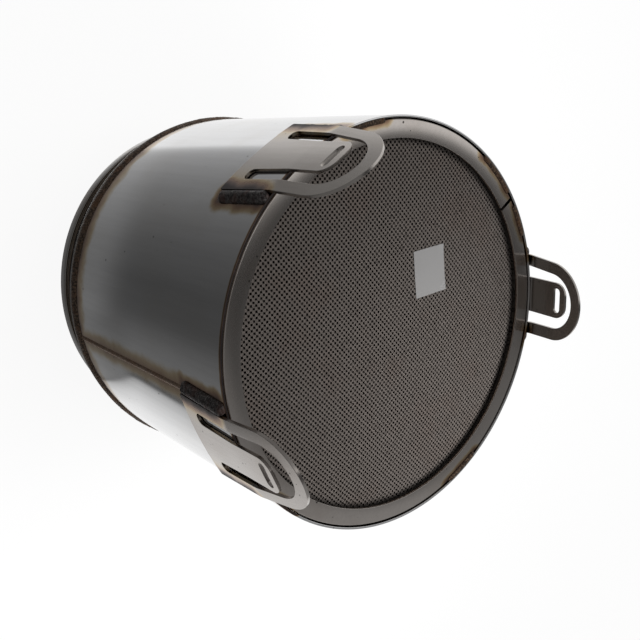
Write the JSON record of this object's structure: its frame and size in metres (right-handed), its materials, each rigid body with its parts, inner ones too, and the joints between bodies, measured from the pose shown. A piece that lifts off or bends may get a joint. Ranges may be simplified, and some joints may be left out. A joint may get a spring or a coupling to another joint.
{
  "type": "diesel particulate filter",
  "caption": "Round steel canister around a honeycomb ceramic filter brick, with a welded rear collar, a split front ring and slotted pull tabs.",
  "frame": {"origin": "on the canister's axis, at the flat rear end of the collar's lip", "axes": "+Z along the canister's axis, from the rear lip towards the open front with the pull tabs; +X towards the first pull tab"},
  "size_m": [0.2757, 0.274, 0.3065],
  "materials": {
    "shell_steel": "satin",
    "collar_steel": "satin",
    "ring_steel": "satin",
    "tab_steel": "satin",
    "weld": "satin",
    "brick": "matte",
    "mat": "matte",
    "wire_mesh": "satin",
    "label": "matte"
  },
  "bodies": {
    "root": {"outer_shell": "shell_steel", "shell_seam_weld": "weld", "rear_collar": "collar_steel", "rear_collar_weld": "weld", "front_ring": "ring_steel", "ring_weld_1": "weld", "ring_weld_2": "weld", "ring_weld_3": "weld", "ring_weld_4": "weld", "ring_weld_5": "weld", "pull_tab_1": "tab_steel", "pull_tab_2": "tab_steel", "pull_tab_3": "tab_steel", "tab_1_left_weld": "weld", "tab_1_right_weld": "weld", "tab_2_left_weld": "weld", "tab_2_right_weld": "weld", "tab_3_left_weld": "weld", "tab_3_right_weld": "weld", "filter_brick": "brick", "support_mat": "mat", "front_mesh_seal": "wire_mesh", "rear_mesh_seal": "wire_mesh", "paper_label": "label"}
  },
  "joints": []
}
